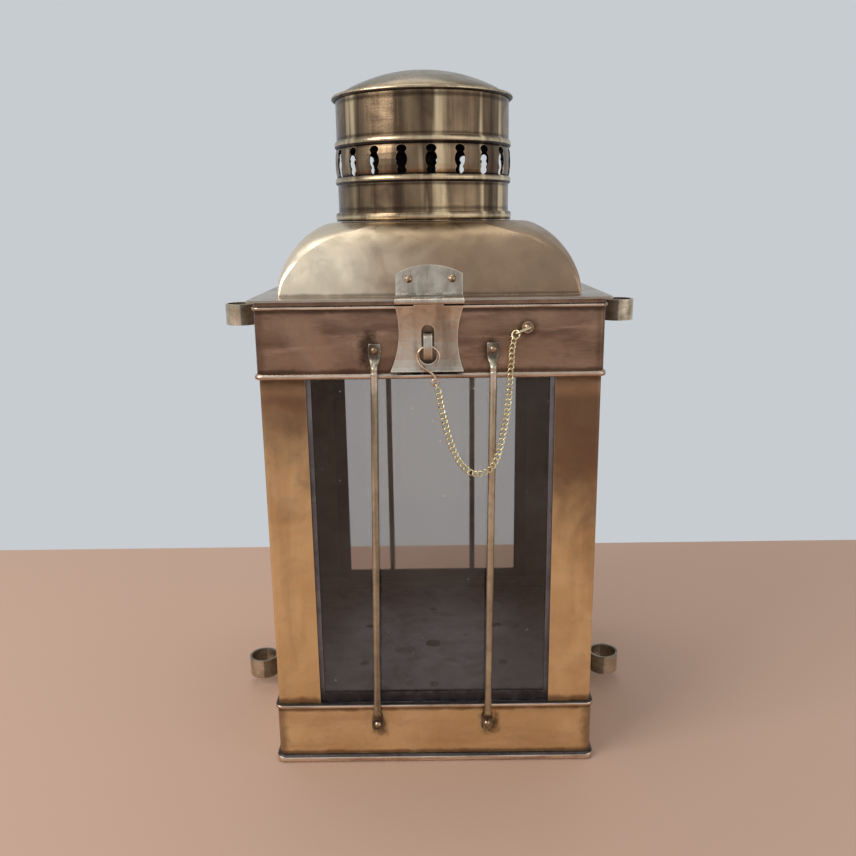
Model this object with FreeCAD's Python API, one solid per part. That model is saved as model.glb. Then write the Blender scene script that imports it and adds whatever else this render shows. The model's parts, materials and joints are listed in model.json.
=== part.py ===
"""Brass ship's lantern: a glazed square body with a hinged, domed lid and a round vented chimney.

Millimetres, +Z up. The front, with the hasp, faces -Y. The origin is the middle of the
resting face, under the foot bead.
"""
import math
import os

import FreeCAD
import Part

V = FreeCAD.Vector
X_AXIS, Y_AXIS, Z_AXIS = V(1, 0, 0), V(0, 1, 0), V(0, 0, 1)
ORIGIN = V(0, 0, 0)

# Sheet-metal body
BAND_HALF = 100.0          # outer half width of the two square bands
BAND_WALL = 1.0
BAND_CORNER = 3.4
FOOT_BEAD_R = 2.8
FOOT_BEAD_Z = 2.5          # a little below its radius, so the bead rests on a flat
BASE_BAND_Z = (5.3, 41.0)
BASE_TOP_BEAD_Z = 39.6
UPPER_BAND_Z = (250.4, 295.3)
UPPER_LOW_BEAD_Z = 252.2
UPPER_TOP_BEAD_Z = 291.5
POST_EDGE = 72.3           # half width of the window between the corner posts
POST_WALL = 1.1
POST_Z = (6.0, 289.0)

# Floor
FLOOR_TOP = 29.5
FLOOR_HALF = 97.6
FLOOR_WALL = 1.2
DRAUGHT_HOLE_D = 11.5
DRAUGHT_RING_D = 6.5
DRAUGHT_RING_R = 57.6

# Glazing
GLASS_T = 2.0
GLASS_HALF = 78.2
GLASS_Z = (41.8, 275.0)
CHANNEL_LIP = 69.5         # half width left clear between the glazing lips
CHANNEL_WALL = 0.5
CHANNEL_WIDTH = 9.5
CHANNEL_OUT = 97.8
RAIL_TOP = 48.0
CHANNEL_TOP = 277.0

# Guard bars
BAR_R = 2.2
BAR_OUT = 104.5
BAR_RIVET_Z = (26.6, 267.1)
BAR_STRAIGHT = 13.0        # from the rivet to where the bar is round and straight
PAD_FACE = 1.6             # the rivet's seat, out from the band
# foot and head of each bar along its side; the front pair was riveted a little out of plumb
FRONT_BARS = ((-36.2, -31.7), (33.6, 36.1))
OTHER_BARS = ((-34.3, -34.3), (34.3, 34.3))

# Rivets: head radius, head height, shank radius
BAR_RIVET = (2.15, 1.3, 1.2)
HINGE_RIVET = (2.0, 1.2, 1.1)
LEAF_RIVET = (2.35, 1.5, 1.1)
EYE_RIVET = (2.2, 1.2, 1.2)
HOLE_CLEARANCE = 0.05

# Guide eyes on the left and right sides
EYE_X = 128.0
EYE_R = 10.7
EYE_WALL = 1.5
EYE_HEIGHT = 14.0
EYE_STEM = 3.0
EYE_FOOT_HALF = 9.5
EYE_FOOT_T = 1.5
EYE_RIVET_Y = 6.4
EYE_Z = (7.5, 271.5)

# Lid
LID_HALF = 103.0
LID_TOP = 296.4
LID_WALL = 1.0
LID_HEM = 1.5
LID_HEM_BOTTOM = 295.1
LID_OPENING_HALF = 83.0
ROOF_WALL = 0.8
# height, half width, size of the bowed corner
ROOF_STATIONS = (
    (296.4, 88.0, 1.2),
    (302.0, 87.6, 2.2),
    (307.5, 86.7, 3.8),
    (313.0, 85.0, 6.2),
    (319.0, 82.3, 8.8),
    (324.0, 79.2, 12.2),
    (328.0, 76.2, 16.2),
    (331.8, 72.7, 23.0),
    (335.0, 68.6, 30.0),
    (337.0, 65.0, 35.0),
    (338.0, 60.5, 44.0),
    (338.3, 57.0, 54.0),
)
CORNER_BOW = 0.34          # how far the bowed corner cuts in, as a share of its size

# Chimney
CHIM_X = -3.0              # soldered on a little to the left
CHIM_R = 55.8
CHIM_WALL = 0.8
CHIM_Z = (338.5, 414.4)
CHIM_FLARE_R = 57.0
RIB_PROUD = 1.5
RIB_HALF = 2.3
RIB_Z = (363.6, 385.9)
BARREL_PROUD = 1.2         # bulge of the vented band between the ribs
VENT_COUNT = 20
VENT_Z = 374.2
VENT_TURN = 5.3            # degrees from the front to the first vent
BASE_RING_H = 5.6
RIM_R = 1.35
RIM_Z = 414.2
FLUE_R = 50.0
# radius and height above the seat of the cap's domed crown
CAP_PROFILE = ((53.6, 0.0), (52.9, 1.7), (51.2, 3.3), (48.6, 4.9))
CAP_RISE = 16.6
CAP_WALL = 0.8

# Hasp and its hinge, on the front edge of the lid
PIN_Y = 107.1
PIN_Z = 295.1
PIN_R = 0.75
BORE_R = 0.80
KNUCKLE_R = 1.75
LEAF_HALF = 19.3
LEAF_WALL = 1.0
HASP_KNUCKLE = (-8.8, 8.0)
KNUCKLE_GAP = 0.3
LEAF_RIVET_X = (-11.8, 13.2)
LEAF_RIVET_Z = 306.3
LEAF_SLOPE = math.radians(13.3)
LEAF_TOP = 314.2
LEAF_ARCH_R = 40.0
REAR_RIVET_X = 12.4
HASP_WALL = 1.1
HASP_TOP = (292.6, -19.2, 19.2)   # height, left edge, right edge
HASP_WAIST = (275.0, -17.6, 15.8)
HASP_FOOT = (254.6, -22.4, 19.0)
SLOT_X = -1.1
SLOT_HALF = 3.65
SLOT_Z = (264.6, 278.3)    # centres of the rounded ends
SLOT_EYE_R = 5.0

# Staple, hook and chain
STAPLE_HALF = 2.4
STAPLE_T = 1.4
STAPLE_R = 8.2
STAPLE_Y = 104.0
STAPLE_Z = 269.8
HOOK_X, HOOK_Y, HOOK_Z = -1.0, -107.2, 263.6
HOOK_R = 6.3
WIRE_R = 0.65
HOOK_TIP_DEG = -25.0
HOOK_TAIL_DEG = 232.0
HOOK_TAIL = (3.3, 251.0)
HOOK_EYE = (2.9, 249.4)
HOOK_EYE_R = 1.9
EYELET_X, EYELET_Z = 55.7, 279.3
EYELET_R = 1.7
EYELET_WIRE_R = 0.6
CHAIN_WIRE_R = 0.4
LINK_LONG = 1.95           # centre line, half length
LINK_WIDE = 1.5            # centre line, half width
LINK_PITCH = 2.95
LINK_TURN = 45.0           # each link is turned this far from the front, to alternate sides
CHAIN_SETTLE = 5.5         # links over which the chain turns to meet the hook's ring
CHAIN_PATH = (
    (47.4, -104.3, 272.6),
    (46.3, -104.8, 266.0),
    (46.2, -105.2, 261.0),
    (45.5, -105.6, 254.0),
    (45.1, -106.2, 245.0),
    (44.0, -107.0, 234.0),
    (42.6, -107.8, 224.5),
    (40.4, -108.5, 214.0),
    (38.4, -108.9, 206.0),
    (35.8, -109.2, 200.5),
    (32.6, -109.2, 197.2),
    (28.5, -109.2, 195.6),
    (24.0, -109.0, 195.8),
    (19.6, -108.8, 198.8),
    (15.3, -108.6, 204.5),
    (11.4, -108.3, 213.5),
    (8.4, -108.0, 224.5),
    (5.8, -107.6, 237.0),
    (4.6, -107.3, 244.3),
)
# rings at the ends: centre, way along the chain, turn about it, half length, half width, wire
END_RINGS = (
    ((48.6, -104.15, 275.54), (-0.36, -0.05, -0.93), 41.5, 2.47, 2.47, 0.5),
    ((52.9, -104.48, 278.14), (0.98, 0.14, 0.37), 92.4, 4.89, 1.79, 0.4),
    ((3.7, -107.25, 246.96), (0.32, -0.02, -0.95), 90.0, 1.8, 1.8, 0.4),
)

# Rear hinges
REAR_HINGE_X = 58.0
REAR_LEAF_DEPTH = 24.0
REAR_LEAF_BOTTOM = 268.0
REAR_KNUCKLE = 6.6         # half length of the middle knuckle


def box(x, y, z):
    """Box between pairs of coordinates."""
    return Part.makeBox(x[1] - x[0], y[1] - y[0], z[1] - z[0], V(x[0], y[0], z[0]))


def turned(shape, degrees, about=ORIGIN, axis=Z_AXIS):
    copy = shape.copy()
    copy.rotate(about, axis, degrees)
    return copy


def fused(shapes):
    first, *rest = shapes
    return first.multiFuse(rest).removeSplitter() if rest else first


def compound(shapes):
    return Part.makeCompound(shapes)


def polygon(points):
    return Part.Face(Part.makePolygon([*points, points[0]]))


def revolved(points):
    """Solid turned about the lantern's axis from (radius, height) corners."""
    return polygon([V(r, 0, z) for r, z in points]).revolve(ORIGIN, Z_AXIS, 360)


def square_prism(half, corner, z):
    """Upright square bar with rounded corners."""
    body = box((-half, half), (-half, half), z)
    upright = [e for e in body.Edges if abs(e.tangentAt(e.FirstParameter).z) > 0.9]
    return body.makeFillet(corner, upright)


def square_tube(half, wall, corner, z):
    inner_corner = max(corner - wall, 0.2)
    return square_prism(half, corner, z).cut(square_prism(half - wall, inner_corner, z))


def square_bead(section, half, corner):
    """Sweeps a face, drawn in the XZ plane on the +X side, round a square with round corners."""
    run = half - corner
    pieces = []
    for side in range(4):
        flank = section.copy()
        flank.translate(V(0, -run, 0))
        pieces.append(turned(flank.extrude(V(0, 2 * run, 0)), 90 * side))
        bend = section.copy()
        bend.translate(V(0, run, 0))
        pieces.append(turned(bend.revolve(V(run, run, 0), Z_AXIS, 90), 90 * side))
    return fused(pieces)


def half_round(face_at, radius, z):
    """D-shaped section with its flat on the band's outer face."""
    arc = Part.Arc(V(face_at, 0, z - radius), V(face_at + radius, 0, z), V(face_at, 0, z + radius))
    flat = Part.makeLine(V(face_at, 0, z + radius), V(face_at, 0, z - radius))
    return Part.Face(Part.Wire([arc.toShape(), flat]))


def cut_round(x, z, radius, clip):
    """Round section at (x, z), cut off at the level of clip."""
    disc = Part.Face(Part.Wire([Part.makeCircle(radius, V(x, 0, z), Y_AXIS)]))
    below = polygon([V(x - 9, 0, clip - 9), V(x + 9, 0, clip - 9), V(x + 9, 0, clip), V(x - 9, 0, clip)])
    return disc.cut(below).Faces[0]


def rivet(at, out, kind, grip, tail=0.7):
    """Domed rivet on a surface: `out` points away from the metal, `grip` is what it clamps."""
    head_r, head_h, shank_r = kind
    dome_r = (head_r ** 2 + head_h ** 2) / (2 * head_h)
    sphere = Part.makeSphere(dome_r, V(0, 0, head_h - dome_r))
    head = sphere.common(Part.makeCylinder(head_r + 1, head_h + 1))
    shank = Part.makeCylinder(shank_r, grip, V(0, 0, -grip))
    clench = Part.makeCylinder(shank_r * 1.5, tail, V(0, 0, -grip - tail))
    body = fused([head, shank, clench])
    body.Placement = FreeCAD.Placement(at, FreeCAD.Rotation(Z_AXIS, out))
    return body


def drill(at, out, kind, reach=4.0):
    radius = kind[2] + HOLE_CLEARANCE
    return Part.makeCylinder(radius, 2 * reach, at - V(out).multiply(reach), out)


def strip(points, wall, x):
    """Sheet bent along (y, z) points, mitred at each bend and spanning the x range."""
    line = [V(0, y, z) for y, z in points]
    normals = []
    for a, b in zip(line, line[1:]):
        along = b.sub(a).normalize()
        normals.append(V(0, -along.z, along.y))
    left, right = [], []
    for i, p in enumerate(line):
        before = normals[max(i - 1, 0)]
        after = normals[min(i, len(normals) - 1)]
        mid = before.add(after).normalize()
        reach = wall / 2 / mid.dot(after)
        left.append(p.add(V(mid).multiply(reach)))
        right.append(p.sub(V(mid).multiply(reach)))
    face = polygon(left + right[::-1])
    face.translate(V(x[0], 0, 0))
    return face.extrude(V(x[1] - x[0], 0, 0))


def knuckle(x, y, z):
    outer = Part.makeCylinder(KNUCKLE_R, x[1] - x[0], V(x[0], y, z), X_AXIS)
    return outer


def knuckle_bore(y, z, half=40.0):
    return Part.makeCylinder(BORE_R, 2 * half, V(-half, y, z), X_AXIS)


def wire_along(path, radius):
    """Round wire swept along a smooth path."""
    start = path.Edges[0].valueAt(path.Edges[0].FirstParameter)
    heading = path.Edges[0].tangentAt(path.Edges[0].FirstParameter)
    ring = Part.Wire([Part.makeCircle(radius, start, heading)])
    return path.makePipeShell([ring], True, False)


def smooth_turned(points, floor):
    """Solid turned about the lantern's axis under one smooth curve, closed at the floor."""
    corners = [V(r, 0, z) for r, z in points]
    skin = Part.BSplineCurve()
    skin.interpolate(corners)
    foot = V(0, 0, floor)
    edges = [
        skin.toShape(),
        Part.makeLine(corners[-1], foot),
        Part.makeLine(foot, corners[0]),
    ]
    return Part.Face(Part.Wire(edges)).revolve(ORIGIN, Z_AXIS, 360)


# Body


def side_bars(side):
    return FRONT_BARS if side == 0 else OTHER_BARS


def bar_rivet_points():
    for side in range(4):
        for ends in side_bars(side):
            for x, z in zip(ends, BAR_RIVET_Z):
                yield side, x, z


def base_band():
    band = square_tube(BAND_HALF, BAND_WALL, BAND_CORNER, BASE_BAND_Z)
    holes = []
    for side, x, z in bar_rivet_points():
        if z < 100:
            holes.append(turned(drill(V(x, -BAND_HALF, z), -Y_AXIS, BAR_RIVET), 90 * side))
    holes += eye_holes(EYE_Z[0])
    return band.cut(compound(holes))


def upper_band():
    band = square_tube(BAND_HALF, BAND_WALL, BAND_CORNER, UPPER_BAND_Z)
    holes = []
    for side, x, z in bar_rivet_points():
        if z > 100:
            holes.append(turned(drill(V(x, -BAND_HALF, z), -Y_AXIS, BAR_RIVET), 90 * side))
    holes += eye_holes(EYE_Z[1])
    holes.append(drill(V(EYELET_X, -BAND_HALF, EYELET_Z), -Y_AXIS, HINGE_RIVET))
    for at in rear_body_rivets():
        holes.append(drill(at, Y_AXIS, HINGE_RIVET))
    return band.cut(compound(holes))


def foot_bead():
    section = cut_round(BAND_HALF - 0.4, FOOT_BEAD_Z, FOOT_BEAD_R, 0.0)
    return square_bead(section, BAND_HALF, BAND_CORNER)


def floor_plate():
    plate = square_prism(FLOOR_HALF, 2.0, (FLOOR_TOP - FLOOR_WALL, FLOOR_TOP))
    flange = square_tube(FLOOR_HALF, FLOOR_WALL, 2.0, (FLOOR_TOP - 9, FLOOR_TOP - FLOOR_WALL / 2))
    holes = [Part.makeCylinder(DRAUGHT_HOLE_D / 2, 20, V(0, 0, FLOOR_TOP - 10))]
    for n in range(6):
        angle = math.radians(30 + 60 * n)
        at = V(DRAUGHT_RING_R * math.cos(angle), DRAUGHT_RING_R * math.sin(angle), FLOOR_TOP - 10)
        holes.append(Part.makeCylinder(DRAUGHT_RING_D / 2, 20, at))
    return fused([plate, flange]).cut(compound(holes))


def corner_post(quarter):
    """Front-left angle, turned to its corner."""
    outer = BAND_HALF - BAND_WALL
    angle = square_tube(outer, POST_WALL, 2.2, POST_Z)
    corner = box((-outer - 1, -POST_EDGE), (-outer - 1, -POST_EDGE), POST_Z)
    return turned(angle.common(corner), 90 * quarter)


def glazing_frame(side):
    """Folded channel up both edges of a pane and a rail along its foot, on the front side."""
    out = CHANNEL_OUT
    depth = GLASS_T + 0.3 + 2 * CHANNEL_WALL
    reach = CHANNEL_LIP + CHANNEL_WIDTH
    bottom = RAIL_TOP - 7.0
    blank = box((-reach, reach), (-out, -out + depth), (bottom, CHANNEL_TOP))
    slot = box(
        (-reach + CHANNEL_WALL, reach - CHANNEL_WALL),
        (-out + CHANNEL_WALL, -out + depth - CHANNEL_WALL),
        (bottom + CHANNEL_WALL, CHANNEL_TOP + 1),
    )
    window = box((-CHANNEL_LIP, CHANNEL_LIP), (-out - 1, -out + depth + 1), (RAIL_TOP, CHANNEL_TOP + 1))
    return turned(blank.cut(slot).cut(window), 90 * side)


def glass_pane(side):
    back = -CHANNEL_OUT + CHANNEL_WALL + 0.15
    pane = box((-GLASS_HALF, GLASS_HALF), (back, back + GLASS_T), GLASS_Z)
    return turned(pane, 90 * side)


# offset from the rivet, distance out from the band, half width, half thickness
BAR_END = (
    (-3.8, 0.74, 3.0, 0.70),
    (-3.0, 0.77, 3.5, 0.75),
    (0.0, 0.80, 3.7, 0.79),
    (3.8, 0.92, 3.5, 0.88),
    (5.8, 1.40, 3.0, 1.25),
    (7.8, 2.80, 2.45, 1.90),
    (10.0, 4.15, 2.2, 2.2),
    (13.0, 4.50, 2.2, 2.2),
)


def bar_end(x, z, up):
    """Bar drawn down to a flat pad, which is riveted to the band; `up` is the way to the bar."""
    rings = []
    for along, out, half_x, half_y in BAR_END:
        centre = V(x, -BAND_HALF - out, z + up * along)
        if half_x > half_y:
            ellipse = Part.Ellipse(centre, half_x, half_y)
        else:
            ellipse = Part.Circle(centre, Z_AXIS, half_x)
        rings.append(Part.Wire([ellipse.toShape()]))
    return Part.makeLoft(rings, True, False)


def guard_bar(side, ends):
    """Round bar between its two pads, which are spot-faced under the rivet heads."""
    foot, head = ends
    low, high = BAR_RIVET_Z
    x = (foot + head) / 2
    length = high - low - 2 * BAR_STRAIGHT
    rod = Part.makeCylinder(BAR_R, length, V(x, -BAR_OUT, low + BAR_STRAIGHT))
    bar = fused([rod, bar_end(x, low, 1), bar_end(x, high, -1)])
    lean = math.degrees(math.atan2(head - foot, high - low))
    bar = turned(bar, lean, V(x, 0, (low + high) / 2), Y_AXIS)
    cuts = []
    for rivet_x, z in zip(ends, BAR_RIVET_Z):
        cuts.append(drill(V(rivet_x, -BAND_HALF, z), -Y_AXIS, BAR_RIVET))
        seat = V(rivet_x, -BAND_HALF - PAD_FACE, z)
        cuts.append(Part.makeCylinder(BAR_RIVET[0] + 0.25, 3, seat, -Y_AXIS))
    return turned(bar.cut(compound(cuts)), 90 * side)


def bar_rivets():
    heads = []
    for side, x, z in bar_rivet_points():
        one = rivet(V(x, -BAND_HALF - PAD_FACE, z), -Y_AXIS, BAR_RIVET, PAD_FACE + BAND_WALL)
        heads.append(turned(one, 90 * side))
    return compound(heads)


def eye_rivet_points(z):
    for hand in (-1, 1):
        for y in (-EYE_RIVET_Y, EYE_RIVET_Y):
            yield hand, V(hand * (BAND_HALF + EYE_FOOT_T), y, z + EYE_HEIGHT / 2)


def eye_holes(z):
    return [drill(at, V(hand, 0, 0), EYE_RIVET) for hand, at in eye_rivet_points(z)]


def guide_eye(hand, z):
    """Short upright tube on a riveted foot."""
    span = (z, z + EYE_HEIGHT)
    ring = Part.makeCylinder(EYE_R, EYE_HEIGHT, V(EYE_X, 0, z))
    stem = box((BAND_HALF + 0.4, EYE_X - EYE_R + 1), (-EYE_STEM / 2, EYE_STEM / 2), span)
    foot = box((BAND_HALF, BAND_HALF + EYE_FOOT_T), (-EYE_FOOT_HALF, EYE_FOOT_HALF), span)
    upright = [e for e in foot.Edges if e.Length < 2]
    foot = foot.makeFillet(2.5, upright)
    bore = Part.makeCylinder(EYE_R - EYE_WALL, EYE_HEIGHT + 2, V(EYE_X, 0, z - 1))
    eye = fused([ring, stem, foot]).cut(bore)
    if hand < 0:
        eye = turned(eye, 180)
    return eye.cut(compound(eye_holes(z)))


def eye_rivets():
    points = [p for z in EYE_Z for p in eye_rivet_points(z)]
    return compound(
        [rivet(at, V(hand, 0, 0), EYE_RIVET, EYE_FOOT_T + BAND_WALL) for hand, at in points]
    )


def staple():
    """Flat strip bent into a loop that stands out through the hasp."""

    def outline(r):
        span = (SLOT_X - STAPLE_HALF, SLOT_X + STAPLE_HALF)
        bend = Part.makeCylinder(r, 2 * STAPLE_HALF, V(span[0], -STAPLE_Y, STAPLE_Z), X_AXIS)
        legs = box(span, (-STAPLE_Y, -BAND_HALF), (STAPLE_Z - r, STAPLE_Z + r))
        behind = box((-9, 9), (-BAND_HALF, -BAND_HALF + 9), (STAPLE_Z - 9, STAPLE_Z + 9))
        return bend.cut(behind).fuse(legs)

    return outline(STAPLE_R).cut(outline(STAPLE_R - STAPLE_T)).removeSplitter()


def chain_eyelet():
    """Rivet through the band, with a small ring standing on its washer."""
    face = V(EYELET_X, -BAND_HALF, EYELET_Z)
    washer = Part.makeCylinder(3.4, 0.8, face, -Y_AXIS)
    shank = Part.makeCylinder(HINGE_RIVET[2], BAND_WALL, face, Y_AXIS)
    clench = Part.makeCylinder(1.8, 0.7, face + V(0, BAND_WALL, 0), Y_AXIS)
    head = Part.makeSphere(2.4, face + V(0, 0.55, 0)).cut(box((0, 90), (-BAND_HALF, -90), (200, 300)))
    loop = Part.makeTorus(EYELET_R, EYELET_WIRE_R, face + V(0, -0.6 - EYELET_R, 0), X_AXIS)
    return fused([washer, shank, clench, head, loop])


# Lid


def lid_plate():
    plate = square_prism(LID_HALF, 1.5, (LID_TOP - LID_WALL, LID_TOP))
    hem = square_tube(LID_HALF, LID_HEM, 1.5, (LID_HEM_BOTTOM, LID_TOP - LID_WALL / 2))
    opening = square_prism(LID_OPENING_HALF, 6.0, (LID_TOP - 5, LID_TOP + 1))
    lid = fused([plate, hem]).cut(opening)
    holes = [drill(at, Z_AXIS, HINGE_RIVET) for at in rear_lid_rivets()]
    return lid.cut(compound(holes))


def roof_outline(z, half, corner):
    """Square with bowed corners, as a closed wire."""
    run = half - corner
    bow = half - CORNER_BOW * corner
    edges = []
    for side in range(4):
        flat = Part.makeLine(V(-run, -half, z), V(run, -half, z))
        bend = Part.Arc(V(run, -half, z), V(bow, -bow, z), V(half, -run, z)).toShape()
        edges += [turned(flat, 90 * side), turned(bend, 90 * side)]
    return Part.Wire(edges)


def inner_stations():
    """Roof stations moved in by the sheet's thickness, square to the slope."""
    stations = []
    for n, (z, half, corner) in enumerate(ROOF_STATIONS):
        below = ROOF_STATIONS[max(n - 1, 0)]
        above = ROOF_STATIONS[min(n + 1, len(ROOF_STATIONS) - 1)]
        rise, inward = above[0] - below[0], below[1] - above[1]
        slope = math.hypot(rise, inward)
        in_by = ROOF_WALL * rise / slope
        down_by = ROOF_WALL * inward / slope
        stations.append((z - down_by, half - in_by, max(corner - 0.3, 0.8)))
    base_z, base_half, base_corner = stations[0]
    return [(base_z - 2.0, base_half, base_corner), *stations]


def roof_shell():
    outer = Part.makeLoft([roof_outline(*s) for s in ROOF_STATIONS], True, False)
    inner = Part.makeLoft([roof_outline(*s) for s in inner_stations()], True, False)
    flue = Part.makeCylinder(FLUE_R, 60, V(CHIM_X, 0, 300))
    return outer.cut(inner).cut(flue)


def roof_panel(shell, side):
    """One quarter of the shell, between its hips."""
    wedge = polygon([ORIGIN, V(-200, -200, 0), V(200, -200, 0)]).extrude(V(0, 0, 400))
    panel = shell.common(turned(wedge, 90 * side))
    if side == 0:
        panel = panel.cut(compound([drill(*p) for p in leaf_rivet_drills()]))
    return panel


def chimney_profile(offset):
    """(radius, height) along the tube, at a distance in from its outer skin."""
    points = [(CHIM_FLARE_R - offset, CHIM_Z[0]), (CHIM_R - offset, CHIM_Z[0] + BASE_RING_H)]
    low, high = RIB_Z
    barrel = ((low + high) / 2, (high - low) / 2 - RIB_HALF, BARREL_PROUD)
    for centre, half, proud in ((low, RIB_HALF, RIB_PROUD), barrel, (high, RIB_HALF, RIB_PROUD)):
        for n in range(9):
            turn = math.pi * n / 8
            bulge = proud * math.sin(turn)
            points.append((CHIM_R + bulge - offset, centre - half * math.cos(turn)))
    points.append((CHIM_R - offset, CHIM_Z[1]))
    return points


def vent():
    """Baluster-shaped opening, in the direction of +X."""

    def lobe(z, half_y, half_z):
        major, minor = max(half_y, half_z), min(half_y, half_z)
        tip = V(0, 0, 1) if half_z > half_y else V(0, 1, 0)
        side = V(0, 1, 0) if half_z > half_y else V(0, 0, 1)
        at = V(CHIM_R - 6, 0, z)
        ellipse = Part.Ellipse(at + tip * major, at + side * minor, at)
        return Part.Face(Part.Wire([ellipse.toShape()])).extrude(V(12, 0, 0))

    lobes = [lobe(VENT_Z, 3.6, 4.9), lobe(VENT_Z + 6.1, 3.2, 2.3), lobe(VENT_Z - 6.2, 3.0, 2.3)]
    neck = box((CHIM_R - 6, CHIM_R + 6), (-2.3, 2.3), (VENT_Z - 6, VENT_Z + 6))
    return fused([*lobes, neck])


def chimney_tube():
    outline = chimney_profile(0.0) + chimney_profile(CHIM_WALL)[::-1]
    tube = revolved(outline)
    one = vent()
    step = 360.0 / VENT_COUNT
    vents = [turned(one, -90 + VENT_TURN + step * n) for n in range(VENT_COUNT)]
    return tube.cut(compound(vents))


def chimney_base_ring():
    """Rolled bead covering the seam between the tube's flared foot and the roof."""
    foot = CHIM_Z[0]
    outline = [(CHIM_R, foot), (CHIM_FLARE_R + 0.9, foot)]
    for n in range(1, 9):
        turn = math.pi * n / 8
        middle = foot + 0.5 + (BASE_RING_H - 0.5) / 2
        outline.append((CHIM_R + 0.9 + 1.1 * math.sin(turn), middle - 2.5 * math.cos(turn)))
    outline.append((CHIM_R, foot + BASE_RING_H))
    ring = revolved(outline)
    return ring.cut(revolved(chimney_profile(0.0) + [(0, CHIM_Z[1]), (0, CHIM_Z[0])]))


def chimney_rim():
    ring = Part.makeTorus(CHIM_R + 1.1, RIM_R, V(0, 0, RIM_Z))
    return ring.cut(Part.makeCylinder(CHIM_R, 20, V(0, 0, RIM_Z - 10)))


def cap_outline(offset):
    """(radius, height) up the shoulder and over the crown, at a distance in from the outer skin."""
    seat = CHIM_Z[1]
    edge_r, edge_z = CAP_PROFILE[-1]
    rise = CAP_RISE - edge_z
    crown_r = (edge_r ** 2 + rise ** 2) / (2 * rise)
    points = [(r - offset, seat + z) for r, z in CAP_PROFILE]
    steps = 12
    spread = math.asin(edge_r / crown_r)
    for n in range(1, steps):
        turn = spread * (1 - n / steps)
        radius = crown_r - offset
        points.append((radius * math.sin(turn), seat + CAP_RISE - crown_r + radius * math.cos(turn)))
    points.append((0, seat + CAP_RISE - offset))
    return points


def chimney_cap():
    """Flat seat on top of the tube, rising over a rounded shoulder to a shallow dome."""
    seat = CHIM_Z[1]
    plate = Part.makeCylinder(CHIM_R, CAP_WALL, V(0, 0, seat))
    dome = smooth_turned(cap_outline(0.0), seat)
    hollow = smooth_turned(cap_outline(CAP_WALL), seat)
    return plate.fuse(dome).removeSplitter().cut(hollow)


def chimney_part(shape):
    """Chimney parts are made about the lantern's axis, then moved to where the chimney stands."""
    moved = shape.copy()
    moved.translate(V(CHIM_X, 0, 0))
    return moved


# Hasp hinge on the front edge of the lid


LEAF_PATH = (
    (-106.6, 296.5),
    (-105.0, 296.95),
    (-89.6, 296.95),
    (-88.75, 298.0),
    (-88.05, 304.0),
    (-86.4, 311.0),
    (-85.6, 314.6),
)


def leaf_rivet_drills():
    """Through the leaf and the roof, square to the roof's slope."""
    out = V(0, -math.cos(LEAF_SLOPE), math.sin(LEAF_SLOPE))
    for x in LEAF_RIVET_X:
        yield V(x, -88.0, LEAF_RIVET_Z), out, LEAF_RIVET


def hasp_hinge_leaf():
    """Leaf lying on the lid and up the foot of the roof, with an arched top edge."""
    sheet = strip(LEAF_PATH, LEAF_WALL, (-LEAF_HALF, LEAF_HALF))
    arch = Part.makeCylinder(LEAF_ARCH_R, 60, V(0, -60, LEAF_TOP - LEAF_ARCH_R), -Y_AXIS)
    below = box((-30, 30), (-120, -60), (290, 300.0))
    sheet = sheet.common(arch.fuse(below))
    rolls = [
        knuckle((-LEAF_HALF, HASP_KNUCKLE[0] - KNUCKLE_GAP), -PIN_Y, PIN_Z),
        knuckle((HASP_KNUCKLE[1] + KNUCKLE_GAP, LEAF_HALF), -PIN_Y, PIN_Z),
    ]
    gap = box(
        (HASP_KNUCKLE[0] - KNUCKLE_GAP, HASP_KNUCKLE[1] + KNUCKLE_GAP), (-112, -104.9), (290, 300)
    )
    leaf = fused([sheet.cut(gap), *rolls]).cut(knuckle_bore(-PIN_Y, PIN_Z))
    return leaf.cut(compound([drill(*p) for p in leaf_rivet_drills()]))


def hasp_hinge_rivets():
    rivets = []
    for at, out, kind in leaf_rivet_drills():
        rivets.append(rivet(at + out * 0.05, out, kind, LEAF_WALL + ROOF_WALL + 0.25))
    return compound(rivets)


def hasp_hinge_pin():
    length = 2 * LEAF_HALF + 0.6
    return Part.makeCylinder(PIN_R, length, V(-length / 2, -PIN_Y, PIN_Z), X_AXIS)


def hasp_outline():
    """Front view of the hasp: waisted sides, cut from the bowed sheet."""
    y = -115
    top_z, *top = HASP_TOP
    waist_z, *waist = HASP_WAIST
    foot_z, *foot = HASP_FOOT
    lip = foot_z + 1.2
    under = foot_z - 3
    edges = [
        Part.Arc(V(top[1], y, top_z), V(waist[1], y, waist_z), V(foot[1], y, lip)).toShape(),
        Part.makeLine(V(foot[1], y, lip), V(foot[1], y, under)),
        Part.makeLine(V(foot[1], y, under), V(foot[0], y, under)),
        Part.makeLine(V(foot[0], y, under), V(foot[0], y, lip)),
        Part.Arc(V(foot[0], y, lip), V(waist[0], y, waist_z), V(top[0], y, top_z)).toShape(),
        Part.makeLine(V(top[0], y, top_z), V(top[1], y, top_z)),
    ]
    return Part.Face(Part.Wire(edges)).extrude(V(0, 15, 0))


def keyhole():
    low, high = SLOT_Z
    slot = box((SLOT_X - SLOT_HALF, SLOT_X + SLOT_HALF), (-115, -99), (low, high))
    end = Part.makeCylinder(SLOT_HALF, 16, V(SLOT_X, -99, high), -Y_AXIS)
    eye = Part.makeCylinder(SLOT_EYE_R, 16, V(SLOT_X, -99, low), -Y_AXIS)
    return fused([slot, end, eye])


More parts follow.
